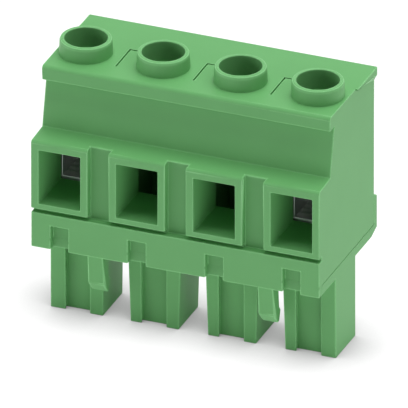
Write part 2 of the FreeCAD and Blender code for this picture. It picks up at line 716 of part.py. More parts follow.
for item in document.Objects:
    if "Invalid" in item.State or "Error" in item.State:
        raise RuntimeError(f"{item.Label} failed: {item.State}")
for piece in pieces:
    if piece.Shape.isNull() or not piece.Shape.isValid() or len(piece.Shape.Solids) != 1:
        raise RuntimeError(f"{piece.Label} isn't one sound solid")
for piece in pieces:
    piece.Shape.exportStep(f"parts/{piece.Label}.step")
    print(piece.Label, round(piece.Shape.Volume, 2), "mm3")
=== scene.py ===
# %% [markdown]
# # A green pluggable terminal block
#
# The CAD model gives this scene its frame: two green mouldings, four clamping screws, four
# steel cages, four contacts and their springs, all at their real size and in their real places.
# The scene gives them what a photograph shows beyond that: edges that a mould and a press
# leave slightly round, threads, the surface of plastic and metal, light and a camera.
#
# Each step is a cell. The text before it says what the real thing is and why it is made so.

import math

import bmesh
import bpy
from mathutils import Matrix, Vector


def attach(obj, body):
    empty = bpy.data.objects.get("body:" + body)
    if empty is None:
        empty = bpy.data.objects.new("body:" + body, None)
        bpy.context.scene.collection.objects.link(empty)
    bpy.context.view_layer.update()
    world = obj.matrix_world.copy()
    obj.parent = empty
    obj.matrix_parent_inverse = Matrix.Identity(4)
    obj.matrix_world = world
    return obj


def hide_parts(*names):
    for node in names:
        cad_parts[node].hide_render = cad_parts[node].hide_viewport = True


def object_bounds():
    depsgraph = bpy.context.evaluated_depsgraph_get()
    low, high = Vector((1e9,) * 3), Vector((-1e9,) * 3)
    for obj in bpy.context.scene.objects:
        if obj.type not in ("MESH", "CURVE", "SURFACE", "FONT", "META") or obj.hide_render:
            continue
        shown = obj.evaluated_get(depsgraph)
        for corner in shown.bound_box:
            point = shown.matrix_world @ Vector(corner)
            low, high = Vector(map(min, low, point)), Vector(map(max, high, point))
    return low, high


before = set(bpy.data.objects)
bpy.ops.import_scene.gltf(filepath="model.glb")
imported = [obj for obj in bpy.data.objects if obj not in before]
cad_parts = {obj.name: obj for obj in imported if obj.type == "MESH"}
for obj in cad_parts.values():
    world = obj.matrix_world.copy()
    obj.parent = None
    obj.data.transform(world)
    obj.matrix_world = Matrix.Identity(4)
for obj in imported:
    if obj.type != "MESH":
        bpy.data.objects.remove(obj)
cad_low, cad_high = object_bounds()

MM = 0.001
POSITIONS = (1, 2, 3, 4)
cad_size = [round(side / MM, 2) for side in cad_high - cad_low]
print("frame:", len(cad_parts), "nodes,", cad_size, "mm")

# %% [markdown]
# ## Copying a CAD piece
#
# A CAD mesh arrives as loose triangles, each with its own corners. A modifier such as Bevel
# needs to know which faces share an edge, so the copy's corners are merged first. The
# triangles of one flat face are then joined into one face, because a bevel runs cleanly
# only along edges of the real shape. Another way is to model each piece again, but the copy
# can't differ from the CAD model by a mistake in typing.

# %% Merged copies
MERGE_DISTANCE = 0.002 * MM
FLAT_ANGLE = math.radians(0.4)


def merged_copy(node):
    """A bmesh with the CAD node's shape, its corners merged and its flat faces joined."""
    shape = bmesh.new()
    shape.from_mesh(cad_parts[node].data)
    bmesh.ops.remove_doubles(shape, verts=shape.verts[:], dist=MERGE_DISTANCE)
    bmesh.ops.dissolve_limit(
        shape,
        angle_limit=FLAT_ANGLE,
        use_dissolve_boundaries=False,
        verts=shape.verts[:],
        edges=shape.edges[:],
        delimit=set(),
    )
    return shape


def report(name, shape):
    """Prints how many faces a shape has, and how many of its edges don't join exactly two."""
    open_edges = sum(1 for edge in shape.edges if not edge.is_manifold)
    print(name, "faces:", len(shape.faces), "open edges:", open_edges)


def as_object(shape, name):
    """Turns a bmesh into an object at the origin. Its place is in its mesh, as a CAD node's is."""
    mesh = bpy.data.meshes.new(name)
    for face in shape.faces:
        face.smooth = True
    shape.to_mesh(mesh)
    shape.free()
    piece = bpy.data.objects.new(name, mesh)
    bpy.context.scene.collection.objects.link(piece)
    return piece


# %% [markdown]
# ## Round edges
#
# No moulded or stamped edge is perfectly sharp, and the thin light lines along the edges are
# what the eye reads as plastic. The Bevel modifier rounds the edges that carry a weight, and
# the weight says how much of the width each one gets, so that a single modifier can round a
# prong's corner more than a narrow groove. The sharp edges without a weight are marked sharp.
# The Weighted Normal modifier then shades each large flat face flat, up to its round edges.

# %% Bevel and weighted normals
SHARP_ANGLE = math.radians(24)
ROUND_SEGMENTS = 2


def is_sharp(edge):
    """True where two faces meet at more than the sharp angle."""
    return edge.calc_face_angle(0.0) > SHARP_ANGLE


def weigh_edges(shape, weight_of):
    """Gives each sharp edge its share of the bevel's width, from 0 to 1."""
    weights = shape.edges.layers.float.new("bevel_weight_edge")
    for edge in shape.edges:
        if is_sharp(edge):
            edge[weights] = weight_of(edge)
            edge.smooth = edge[weights] > 0


def shade_flat_faces(piece):
    """Adds the Weighted Normal modifier, which leaves edges that are marked sharp as they are."""
    normals = piece.modifiers.new("flat_faces_flat", "WEIGHTED_NORMAL")
    normals.keep_sharp = True


def round_off(piece, width):
    """Adds the Bevel and Weighted Normal modifiers to a piece with weighed edges."""
    bevel = piece.modifiers.new("round_edges", "BEVEL")
    bevel.limit_method = "WEIGHT"
    bevel.width = width
    bevel.segments = ROUND_SEGMENTS
    bevel.profile = 0.5
    bevel.material = -1
    bevel.use_clamp_overlap = False
    shade_flat_faces(piece)
    return piece


def fit_to_frame(piece, node, body):
    """The piece rides on the CAD body, and the CAD node that it stands for is hidden."""
    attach(piece, body)
    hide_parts(node)
    return piece


# %% [markdown]
# ## The two green mouldings
#
# The housing is moulded in two halves that snap together. Where they meet on the right side,
# their round edges leave a fine groove, which is the seam that shows on the real block. The
# collars' outer rims, which guide the screwdriver, have the largest radius, the funnels and
# prongs about half of it, and the engraved marks on the top plate stay crisp. Each edge is
# known by its place, measured in millimetres as on a drawing: x from the left end, y from the
# front and z from the tips of the prongs. Choosing the edges by hand would do as well, but
# the choice would be lost each time the CAD model is packed again.

# %% Places on the drawing
PITCH, FIRST_MIDDLE, SCREW_Y = 10.16, 3.70, 8.95
CLOSE = 0.02


def drawing_place(point):
    """A point's millimetres from the left end, the front and the tips of the prongs."""
    return (point - Vector((cad_low.x, cad_low.y, 0))) / MM


def from_middle(x):
    """How far a place lies to the right of the nearest position's middle."""
    return (x - FIRST_MIDDLE + PITCH / 2) % PITCH - PITCH / 2


def near(first, second):
    """True for two lengths that are the same but for rounding."""
    return abs(first - second) < CLOSE


middles = [round(FIRST_MIDDLE + (number - 1) * PITCH, 2) for number in POSITIONS]
print("middles of the positions:", middles)

# %% Edges of the marks and of the funnels' mouths
PLATE_TOP, MARK_DEPTH = 34.05, 0.30
MARKS_LEFT, MARKS_RIGHT, MARKS_FRONT, MARKS_BACK = 0.5, 35.0, 6.7, 11.8
ALMOST_SQUARE = math.radians(80)
MOUTH_HALF_WIDTH, MOUTH_SHORTEST, MOUTH_LONGEST = 2.74, 5.0, 5.6
UPRIGHT_RISE = 1.0


def mark_edge(edge, centre, along):
    """True for the edges of the engraved marks on the top plate, which stay crisp."""
    on_plate = PLATE_TOP - MARK_DEPTH - CLOSE < centre.z < PLATE_TOP + CLOSE
    among_collars = MARKS_FRONT < centre.y < MARKS_BACK and MARKS_LEFT < centre.x < MARKS_RIGHT
    straight = near(along.z, 0) and (near(along.x, 0) or near(along.y, 0))
    return on_plate and among_collars and straight and edge.calc_face_angle() > ALMOST_SQUARE


def mouth_edge(centre, along):
    """True for the four inner edges of a funnel's mouth."""
    aside = abs(from_middle(centre.x))
    if centre.y > CLOSE or along.length < MOUTH_SHORTEST:
        return False
    if abs(along.z) > UPRIGHT_RISE:
        return near(aside, MOUTH_HALF_WIDTH)
    return near(aside, 0) and along.length < MOUTH_LONGEST


# %% How round each edge is
HOUSING_RADIUS = 0.32 * MM
FULL, HALF, USUAL, MOUTH, PARTING, CRISP = 1.0, 0.5, 0.4, 0.25, 0.05, 0.0
COLLAR_TOP, COLLAR_MIDDLE_RADIUS = 36.15, 2.95
BASE_UNDERSIDE, BASE_TOP, BAND_THICKNESS = 10.94, 12.30, 0.90
FUNNEL_FOOT, RECESS_DEPTH = 16.22, 1.08
NARROW_EDGE = 0.40


def housing_weight(edge):
    """The edge's share of the radius."""
    first, last = (drawing_place(corner.co) for corner in edge.verts)
    centre, along = (first + last) / 2, last - first
    if centre.z > COLLAR_TOP - CLOSE:
        outer = math.hypot(from_middle(centre.x), centre.y - SCREW_Y) > COLLAR_MIDDLE_RADIUS
        return FULL if outer else HALF
    if along.length < NARROW_EDGE or mark_edge(edge, centre, along):
        return CRISP
    if near(centre.y, BAND_THICKNESS) and near(centre.z, BASE_TOP):
        return PARTING
    if centre.z < BASE_UNDERSIDE and abs(along.z) > UPRIGHT_RISE:
        return HALF
    if centre.y < RECESS_DEPTH + CLOSE and centre.z > FUNNEL_FOOT - CLOSE:
        return MOUTH if mouth_edge(centre, along) else HALF
    return USUAL


# %% [markdown]
# ## Corners that move
#
# In two places the real mouldings differ a little from the CAD model. The plate's lip over
# the right side starts thin and grows thicker towards the back, and the ribs beside the sunk
# panel on each prong's front have other widths. Only a few corners decide both, so the copy's
# corners are moved there, and no piece is modelled anew. All faces beside them stay flat or
# bend by less than the eye sees.

# %% Side lip and ribs
LIP_ROOT, LIP_FRONT, LIP_FRONT_THICKNESS = 37.88, 12.00, 0.20
PANEL_LEFT, PANEL_RIGHT, PRONG_FRONT, PANEL_BACK = -1.44, 2.00, 5.43, 6.33
FIRST_PRONG_TIP_RIGHT, FIRST_PRONG_WIDER = 7.06, 0.22
# How far a panel's front left, back left and right corners move to the right.
FIRST_PANEL_MOVES, OTHER_PANEL_MOVES = (0.15, -0.12, -0.18), (-0.04, -0.30, -0.30)


def taper_side_lip(shape):
    """Draws the lower corners at the front of the plate's side lip up, so that it starts thin."""
    for corner in shape.verts:
        place = drawing_place(corner.co)
        at_lip_front = place.x > LIP_ROOT - CLOSE and near(place.y, LIP_FRONT)
        if at_lip_front and place.z < PLATE_TOP - CLOSE:
            corner.co.z = (PLATE_TOP - LIP_FRONT_THICKNESS) * MM
            print("side lip drawn up at", [round(side, 2) for side in place])


def refine_prongs(shape):
    """Moves the corners of the sunk panels, and the first prong's right side out at its tip."""
    for corner in shape.verts:
        place = drawing_place(corner.co)
        if place.z > BASE_UNDERSIDE + CLOSE:
            continue
        if near(place.x, FIRST_PRONG_TIP_RIGHT) and place.z < CLOSE:
            corner.co.x += FIRST_PRONG_WIDER * MM
        if not PRONG_FRONT - CLOSE < place.y < PANEL_BACK + CLOSE:
            continue
        on_first = place.x < FIRST_MIDDLE + PITCH / 2
        front_left, back_left, right = FIRST_PANEL_MOVES if on_first else OTHER_PANEL_MOVES
        if near(from_middle(place.x), PANEL_LEFT):
            corner.co.x += (back_left if near(place.y, PANEL_BACK) else front_left) * MM
        if near(from_middle(place.x), PANEL_RIGHT):
            corner.co.x += right * MM


# %% Both mouldings
housing_pieces = []
for node in ("upper_housing", "plug_base"):
    shape = merged_copy(node)
    taper_side_lip(shape)
    refine_prongs(shape)
    weigh_edges(shape, housing_weight)
    report(node, shape)
    piece = round_off(as_object(shape, node + "_moulding"), HOUSING_RADIUS)
    housing_pieces.append(fit_to_frame(piece, node, "housing"))

# %% [markdown]
# ## Clamping screws
#
# Each screw is turned from a bar. Its cheese head starts as a disc, which is cut by two planes
# into three parts. Only the outer two are drawn up, so that the driver slot stays open
# between them, and the two faces that this leaves inside the head are deleted. The thread is
# one pitch of its outline, spun round the axis while it climbs by one pitch a turn. Each turn's
# end meets the next one's start, and merging the doubles joins them into one long thread. A
# Screw modifier could do the same, but the operator's result can be measured at once.

# %% Screw head
HEAD_SEAT, HEAD_TOP, HEAD_RADIUS, HEAD_RIM = 31.15, 33.35, 2.35, 0.09
HEAD_STEPS = 64
DRIVER_SLOT_WIDTH, DRIVER_SLOT_DEPTH = 0.80, 1.10
SLOT_FLOOR = HEAD_TOP - DRIVER_SLOT_DEPTH
CUT_DISTANCE = MERGE_DISTANCE / 10


def screw_axis(number):
    """The point of a position's screw axis at the height of the prongs' tips."""
    x = FIRST_MIDDLE + (number - 1) * PITCH
    return Vector((cad_low.x + x * MM, cad_low.y + SCREW_Y * MM, 0))


def draw_up(shape, faces, height, **options):
    """Extrudes faces, and lifts the new ones by a height in millimetres."""
    drawn = bmesh.ops.extrude_face_region(shape, geom=faces, **options)
    raised = [item for item in drawn["geom"] if isinstance(item, bmesh.types.BMVert)]
    bmesh.ops.translate(shape, verts=raised, vec=(0, 0, height * MM))


def at_slot_floor(shape):
    """The faces that lie as high as the driver slot's floor."""
    floor_height = (SLOT_FLOOR - CLOSE) * MM
    return [face for face in shape.faces if face.calc_center_median().z > floor_height]


def screw_head(shape, axis):
    """A disc whose two outer parts are drawn up beside the driver slot."""
    disc = bmesh.ops.create_circle(
        shape, cap_ends=True, segments=HEAD_STEPS, radius=HEAD_RADIUS * MM
    )
    bmesh.ops.translate(shape, verts=disc["verts"], vec=axis + Vector((0, 0, HEAD_SEAT * MM)))
    draw_up(shape, shape.faces[:], SLOT_FLOOR - HEAD_SEAT, use_keep_orig=True)
    half_slot = DRIVER_SLOT_WIDTH / 2 * MM
    for side in (-half_slot, half_slot):
        top = at_slot_floor(shape)
        around = {item for face in top for item in (*face.edges, *face.verts)}
        bmesh.ops.bisect_plane(
            shape,
            geom=[*top, *around],
            dist=CUT_DISTANCE,
            plane_co=axis + Vector((side, 0, 0)),
            plane_no=(1, 0, 0),
        )
    outer = [
        face
        for face in at_slot_floor(shape)
        if abs(face.calc_center_median().x - axis.x) > half_slot
    ]
    draw_up(shape, outer, DRIVER_SLOT_DEPTH)
    bmesh.ops.delete(shape, geom=outer, context="FACES_ONLY")
    bmesh.ops.bevel(
        shape,
        geom=[edge for edge in shape.edges if is_sharp(edge)],
        offset=HEAD_RIM * MM,
        offset_type="OFFSET",
        affect="EDGES",
        segments=ROUND_SEGMENTS,
        profile=0.5,
        material=-1,
        clamp_overlap=True,
    )


# %% Core and thread
SHANK_TIP, SHANK_RADIUS, THREAD_ROOT = 23.60, 1.92, 1.62
TIP_CHAMFER, NECK, CORE_IN_HEAD = 0.35, 0.45, 0.20
THREAD_PITCH, CREST_START, CREST_END = 0.70, 0.42, 0.58
CORE_STEPS, THREAD_STEPS = 32, 28


def add_outline(shape, axis, outline):
    """Adds the corners and edges of an outline, given as (radius, height) in millimetres."""
    corners = [
        shape.verts.new(axis + Vector((radius * MM, 0, height * MM)))
        for radius, height in outline
    ]
    return [*corners, *(shape.edges.new(pair) for pair in zip(corners, corners[1:]))]


def core(shape, axis):
    """Spins the core's outline round the axis into a closed form, which ends inside the head."""
    outline = (
        (0, SHANK_TIP),
        (THREAD_ROOT - TIP_CHAMFER, SHANK_TIP),
        (THREAD_ROOT, SHANK_TIP + TIP_CHAMFER),
        (THREAD_ROOT, HEAD_SEAT + CORE_IN_HEAD),
        (0, HEAD_SEAT + CORE_IN_HEAD),
    )
    bmesh.ops.spin(
        shape,
        geom=add_outline(shape, axis, outline),
        cent=axis,
        axis=(0, 0, 1),
        angle=math.tau,
        steps=CORE_STEPS,
        use_merge=True,
        use_duplicate=False,
    )


def thread(shape, axis, low, high):
    """One pitch of the thread's outline, spun upwards turn by turn."""
    flank_up = ((THREAD_ROOT, 0), (SHANK_RADIUS, CREST_START))
    flank_down = ((SHANK_RADIUS, CREST_END), (THREAD_ROOT, 1))
    outline = [(radius, low + share * THREAD_PITCH) for radius, share in flank_up + flank_down]
    turns = int((high - low) / THREAD_PITCH) - 1
    bmesh.ops.spin(
        shape,
        geom=add_outline(shape, axis, outline),
        cent=axis,
        axis=(0, 0, 1),
        dvec=(0, 0, THREAD_PITCH / THREAD_STEPS * MM),
        angle=math.tau * turns,
        steps=THREAD_STEPS * turns,
        use_merge=False,
        use_duplicate=False,
    )


# %% Screws
screws = []
for number in POSITIONS:
    node = f"clamp_screw_{number}"
    shape = bmesh.new()
    screw_head(shape, screw_axis(number))
    core(shape, screw_axis(number))
    thread(shape, screw_axis(number), SHANK_TIP + TIP_CHAMFER, HEAD_SEAT - NECK)
    bmesh.ops.remove_doubles(shape, verts=shape.verts[:], dist=MERGE_DISTANCE)
    ends = [edge for edge in shape.edges if edge.is_boundary]
    bmesh.ops.holes_fill(shape, edges=ends, sides=0)
    bmesh.ops.recalc_face_normals(shape, faces=shape.faces[:])
    report(node, shape)
    for edge in shape.edges:
        edge.smooth = not is_sharp(edge)
    piece = as_object(shape, f"{node}_turned")
    shade_flat_faces(piece)
    screws.append(fit_to_frame(piece, node, f"screw_{number}"))

# %% [markdown]
# ## Steel cages, contacts and springs
#
# These are cut and bent from strip. A punched edge is round on the side where the punch went
# in, so the edges get a small radius of 0.05 to 0.1 mm, which is less for thinner strip. The
# shortest edges are left out, because their bevels would run into each other.

# %% Stamped pieces
CAGE_RADIUS, STRIP_RADIUS, SPRING_RADIUS = 0.10 * MM, 0.06 * MM, 0.05 * MM
SHORTEST_ROUNDED = 0.25


def stamped(node, ending, radius, body):
    """A merged copy of a CAD node whose longer edges are rounded, on the node's body."""
    shape = merged_copy(node)
    weigh_edges(shape, lambda edge: float(edge.calc_length() > SHORTEST_ROUNDED * MM))
    report(node, shape)
    return fit_to_frame(round_off(as_object(shape, f"{node}_{ending}"), radius), node, body)


cages, contacts, springs = [], [], []
for number in POSITIONS:
    cage, contact, spring = (
        f"{kind}_{number}" for kind in ("tension_sleeve", "contact", "contact_spring")
    )
    cages.append(stamped(cage, "stamped", CAGE_RADIUS, f"sleeve_{number}"))
    contacts.append(stamped(contact, "strip", STRIP_RADIUS, "housing"))
    springs.append(stamped(spring, "strip", SPRING_RADIUS, "housing"))

# %% [markdown]
# ## Node groups for the finishes
#
# Plastic and metal share two effects, so each is a node group that is built once and gets its
# own values in every material. The first is a fine grain, as a spark-eroded mould leaves it,
# with soft clouds, as dyed plastic and a plated surface have them. The second is the set of
# fine lines that rolling or turning leaves in metal: noise that is stretched along the lines.
# Both work in millimetres, on the pieces' own coordinates, so the scale of a finish never
# depends on the piece.

# %% Grain group
GRAIN_DETAIL, CLOUD_DETAIL = 4.0, 3.0


def add_socket(group, name, direction, kind="NodeSocketFloat", value=None):
    """Gives a node group an input or an output."""
    socket = group.interface.new_socket(name=name, in_out=direction, socket_type=kind)
    if value is not None:
        socket.default_value = value


def millimetre_coordinates(nodes, links):
    """Object coordinates in millimetres."""
    place = nodes.new("ShaderNodeTexCoord")
    scale = nodes.new("ShaderNodeVectorMath")
    scale.operation = "SCALE"
    scale.inputs["Scale"].default_value = 1 / MM
    links.new(place.outputs["Object"], scale.inputs[0])
    return scale.outputs["Vector"]


grain_group = bpy.data.node_groups.new("grain_and_clouds", "ShaderNodeTree")
add_socket(grain_group, "Grains per mm", "INPUT", value=6.0)
add_socket(grain_group, "Clouds per mm", "INPUT", value=0.25)
add_socket(grain_group, "Grain", "OUTPUT")
add_socket(grain_group, "Clouds", "OUTPUT")
nodes, links = grain_group.nodes, grain_group.links
given, result = nodes.new("NodeGroupInput"), nodes.new("NodeGroupOutput")
place = millimetre_coordinates(nodes, links)
for source, target, detail in (
    ("Grains per mm", "Grain", GRAIN_DETAIL),
    ("Clouds per mm", "Clouds", CLOUD_DETAIL),
):
    noise = nodes.new("ShaderNodeTexNoise")
    noise.inputs["Detail"].default_value = detail
    links.new(place, noise.inputs["Vector"])
    links.new(given.outputs[source], noise.inputs["Scale"])
    links.new(noise.outputs["Fac"], result.inputs[target])
print("group:", grain_group.name, len(nodes), "nodes")

# %% Line group
LINE_DETAIL, LINE_STRETCH = 2.0, 0.08
# A Mix node has its own sockets A, B and Result for each kind of data.
VECTOR_A, VECTOR_B, VECTOR_RESULT = 4, 5, 1

line_group = bpy.data.node_groups.new("tool_lines", "ShaderNodeTree")
add_socket(line_group, "Centre", "INPUT", "NodeSocketVector")
add_socket(line_group, "Round", "INPUT", value=0.0)
add_socket(line_group, "Lines per mm", "INPUT", value=9.0)
add_socket(line_group, "Lines", "OUTPUT")
nodes, links = line_group.nodes, line_group.links
given, result = nodes.new("NodeGroupInput"), nodes.new("NodeGroupOutput")
place = millimetre_coordinates(nodes, links)
from_axis = nodes.new("ShaderNodeVectorMath")
from_axis.operation = "SUBTRACT"
links.new(place, from_axis.inputs[0])
links.new(given.outputs["Centre"], from_axis.inputs[1])
apart = nodes.new("ShaderNodeSeparateXYZ")
links.new(from_axis.outputs["Vector"], apart.inputs[0])
flat = nodes.new("ShaderNodeCombineXYZ")
links.new(apart.outputs["X"], flat.inputs["X"])
links.new(apart.outputs["Y"], flat.inputs["Y"])
radius = nodes.new("ShaderNodeVectorMath")
radius.operation = "LENGTH"
links.new(flat.outputs["Vector"], radius.inputs[0])
ring_place = nodes.new("ShaderNodeCombineXYZ")
links.new(radius.outputs["Value"], ring_place.inputs["X"])
links.new(apart.outputs["Z"], ring_place.inputs["Z"])
strip_place = nodes.new("ShaderNodeVectorMath")
strip_place.operation = "MULTIPLY"
strip_place.inputs[1].default_value = (1.0, LINE_STRETCH, LINE_STRETCH)
links.new(from_axis.outputs["Vector"], strip_place.inputs[0])
choice = nodes.new("ShaderNodeMix")
choice.data_type = "VECTOR"
links.new(given.outputs["Round"], choice.inputs["Factor"])
links.new(strip_place.outputs["Vector"], choice.inputs[VECTOR_A])
links.new(ring_place.outputs["Vector"], choice.inputs[VECTOR_B])
noise = nodes.new("ShaderNodeTexNoise")
noise.inputs["Detail"].default_value = LINE_DETAIL
links.new(choice.outputs[VECTOR_RESULT], noise.inputs["Vector"])
links.new(given.outputs["Lines per mm"], noise.inputs["Scale"])
links.new(noise.outputs["Fac"], result.inputs["Lines"])
print("group:", line_group.name, len(nodes), "nodes")

# %% [markdown]
# ## Green plastic
#
# The housing is moulded from dyed polyamide. The surface is satin: the grain group varies its
# roughness a little and drives a very low bump, and the clouds shift the green by a few
# percent. Its outer edges get a paler green, a painted highlight that stands for the thin
# light lines along them. The Bevel node gives the normal that a rounder edge would have.
# Where it differs from the surface's own there is an edge, and ambient occlusion tells an
# outer edge from an inner corner, which hides part of its own sky. At the height where the
# two mouldings meet the mask is 0, so the seam gets no painted highlight. Painting the edges
# by hand would do as well, but wouldn't follow a change of the shape.

# %% Helpers for materials
BUMP_HEIGHT = 0.006 * MM
COLOUR_A, COLOUR_B, COLOUR_RESULT = 6, 7, 2


def new_material(name):
    """A material that starts with the Principled BSDF, and its nodes and links."""
    material = bpy.data.materials.new(name)
    material.use_nodes = True
    return material, material.node_tree.nodes, material.node_tree.links


def use_group(nodes, group, **values):
    """Places a node group and sets its inputs. Their names are given with _ for a space."""
    node = nodes.new("ShaderNodeGroup")
    node.node_tree = group
    for name, value in values.items():
        node.inputs[name.replace("_", " ")].default_value = value
    return node


def between(nodes, links, mask, low, high):
    """Maps a mask from 0..1 to low..high."""
    spread = nodes.new("ShaderNodeMapRange")
    spread.inputs["To Min"].default_value = low
    spread.inputs["To Max"].default_value = high
    links.new(mask, spread.inputs["Value"])
    return spread.outputs["Result"]


def colour_between(nodes, links, mask, first, second):
    """Mixes two colours by a mask."""
    mix = nodes.new("ShaderNodeMix")
    mix.data_type = "RGBA"
    mix.inputs[COLOUR_A].default_value = (*first, 1)
    mix.inputs[COLOUR_B].default_value = (*second, 1)
    links.new(mask, mix.inputs["Factor"])
    return mix.outputs[COLOUR_RESULT]


def low_bump(nodes, links, mask, strength):
    """A bump as low as the marks that a mould or a tool leaves."""
    bump = nodes.new("ShaderNodeBump")
    bump.inputs["Strength"].default_value = strength
    bump.inputs["Distance"].default_value = BUMP_HEIGHT
    links.new(mask, bump.inputs["Height"])
    return bump.outputs["Normal"]


def combined(nodes, links, operation, first, second):
    """Works out one mask from two, by an operation such as MULTIPLY or MAXIMUM."""
    both = nodes.new("ShaderNodeMath")
    both.operation = operation
    links.new(first, both.inputs[0])
    links.new(second, both.inputs[1])
    return both.outputs[0]


# %% Mask of the painted edge highlight
EDGE_WIDTH, EDGE_SAMPLES = 0.16 * MM, 4
# The cosine between the two normals where an edge begins and where the mask is full.
EDGE_BEGINS, EDGE_FULL = 0.995, 0.93
# The share of open sky in an inner corner and on an outer edge, and how far away it is judged.
INNER_SKY, OUTER_SKY, SKY_DISTANCE = 0.70, 0.95, 4 * EDGE_WIDTH


def rising(nodes, links, source, start, end):
    """A mask that goes from 0 where the source is start to 1 where it is end."""
    spread = nodes.new("ShaderNodeMapRange")
    spread.inputs["From Min"].default_value = start
    spread.inputs["From Max"].default_value = end
    links.new(source, spread.inputs["Value"])
    return spread.outputs["Result"]


def edge_highlight_mask(nodes, links):
    """The mask of the painted highlight: 1 along outer edges, and 0 on flat faces, in corners and
    at the parting.
    """
    rounded = nodes.new("ShaderNodeBevel")
    rounded.samples = EDGE_SAMPLES
    rounded.inputs["Radius"].default_value = EDGE_WIDTH
    surface = nodes.new("ShaderNodeNewGeometry")
    alike = nodes.new("ShaderNodeVectorMath")
    alike.operation = "DOT_PRODUCT"
    links.new(rounded.outputs["Normal"], alike.inputs[0])
    links.new(surface.outputs["True Normal"], alike.inputs[1])
    bent = rising(nodes, links, alike.outputs["Value"], EDGE_BEGINS, EDGE_FULL)
    open_air = nodes.new("ShaderNodeAmbientOcclusion")
    open_air.samples = EDGE_SAMPLES
    open_air.inputs["Distance"].default_value = SKY_DISTANCE
    outer = rising(nodes, links, open_air.outputs["AO"], INNER_SKY, OUTER_SKY)
    height = nodes.new("ShaderNodeSeparateXYZ")
    links.new(millimetre_coordinates(nodes, links), height.inputs[0])
    at_parting = nodes.new("ShaderNodeMath")
    at_parting.operation = "COMPARE"
    at_parting.inputs[1].default_value = BASE_TOP
    at_parting.inputs[2].default_value = EDGE_WIDTH / MM
    links.new(height.outputs["Z"], at_parting.inputs[0])
    elsewhere = between(nodes, links, at_parting.outputs[0], 1.0, 0.0)
    bent_outwards = combined(nodes, links, "MULTIPLY", bent, outer)
    return combined(nodes, links, "MULTIPLY", bent_outwards, elsewhere)


# %% Green plastic
DEEP_GREEN, LIGHT_GREEN = (0.128, 0.378, 0.130), (0.144, 0.408, 0.146)
# The paler green below is a painted highlight along the outer edges of the housing.
HIGHLIGHT_GREEN = (0.300, 0.680, 0.305)
PLASTIC_SHINE, PLASTIC_SMOOTHEST, PLASTIC_ROUGHEST, PLASTIC_BUMP = 0.30, 0.46, 0.56, 0.25

plastic, nodes, links = new_material("green_housing_plastic")
shader = nodes["Principled BSDF"]
shader.inputs["Specular IOR Level"].default_value = PLASTIC_SHINE
texture = use_group(nodes, grain_group, Grains_per_mm=7.0, Clouds_per_mm=0.22)
grain, clouds = texture.outputs["Grain"], texture.outputs["Clouds"]
# The base colour mixes in the painted edge highlight where the edge mask is 1.
highlighted_green = nodes.new("ShaderNodeMix")
highlighted_green.data_type = "RGBA"
highlighted_green.inputs[COLOUR_B].default_value = (*HIGHLIGHT_GREEN, 1)
links.new(edge_highlight_mask(nodes, links), highlighted_green.inputs["Factor"])
body_green = colour_between(nodes, links, clouds, DEEP_GREEN, LIGHT_GREEN)
links.new(body_green, highlighted_green.inputs[COLOUR_A])
links.new(highlighted_green.outputs[COLOUR_RESULT], shader.inputs["Base Color"])
satin = between(nodes, links, grain, PLASTIC_SMOOTHEST, PLASTIC_ROUGHEST)
links.new(satin, shader.inputs["Roughness"])
links.new(low_bump(nodes, links, grain, PLASTIC_BUMP), shader.inputs["Normal"])
for piece in housing_pieces:
    piece.data.materials.append(plastic)
print("material:", plastic.name, "on", [piece.name for piece in housing_pieces])

# %% [markdown]
# ## Metals
#
# The screws are turned and zinc plated, so their lines run round each screw's own axis. The
# cages and contacts are rolled strip, and their lines run straight. All four finishes use
# one function, with their own colours, roughness and lines. The lines shift the roughness and
# drive the bump, and the clouds make the plating a little uneven in colour.

# %% Metal finishes
SCREW_GREYS = (0.40, 0.40, 0.39), (0.52, 0.51, 0.49)
CAGE_GREYS = (0.45, 0.49, 0.48), (0.57, 0.61, 0.60)
CONTACT_GREYS = (0.66, 0.65, 0.61), (0.80, 0.79, 0.74)
SPRING_GREYS = (0.42, 0.42, 0.42), (0.55, 0.55, 0.54)
SMOOTHER, ROUGHER, METAL_BUMP = 0.08, 0.10, 0.15


def metal(name, greys, roughness, centre=(0, 0, 0), ring=0.0, lines=9.0):
    """A metal with soft clouds and tool lines, which are straight for ring 0 and round for 1."""
    material, nodes, links = new_material(name)
    shader = nodes["Principled BSDF"]
    shader.inputs["Metallic"].default_value = 1.0
    group = use_group(nodes, line_group, Centre=centre, Round=ring, Lines_per_mm=lines)
    tool_lines = group.outputs["Lines"]
    clouds = use_group(nodes, grain_group, Clouds_per_mm=0.6).outputs["Clouds"]
    brushed = between(nodes, links, tool_lines, roughness - SMOOTHER, roughness + ROUGHER)
    links.new(colour_between(nodes, links, clouds, *greys), shader.inputs["Base Color"])
    links.new(brushed, shader.inputs["Roughness"])
    links.new(low_bump(nodes, links, tool_lines, METAL_BUMP), shader.inputs["Normal"])
    print("material:", name, "roughness", roughness)
    return material


for number, screw in zip(POSITIONS, screws):
    screw.data.materials.append(
        metal(
            f"turned_screw_steel_{number}",
            SCREW_GREYS,
            roughness=0.32,
            centre=screw_axis(number) / MM,
            ring=1.0,
            lines=7.0,
        )
    )
for pieces, material in (
    (cages, metal("zinc_plated_cage_steel", CAGE_GREYS, roughness=0.34)),
    (contacts, metal("tin_plated_contact_strip", CONTACT_GREYS, roughness=0.30, lines=12.0)),
    (springs, metal("spring_steel_strip", SPRING_GREYS, roughness=0.26, lines=14.0)),
):
    for piece in pieces:
        piece.data.materials.append(material)

# %% [markdown]
# ## Floor and world
#
# The block stands on a white table in a light tent. The table lights the block from below as
# well: it is pale and shines a little, which is why the front of the block is nearly as
# bright as its top. What the camera and the metal see of the table is a second matter: it
# is white paper. Both are dimmed where the block stands close above the table, by ambient
# occlusion, which gives the share of the sky that nearby surfaces leave open over a point.
# That dimming is the soft shadow round the prongs.

# %% Floor
bpy.context.scene.view_settings.view_transform = "Standard"

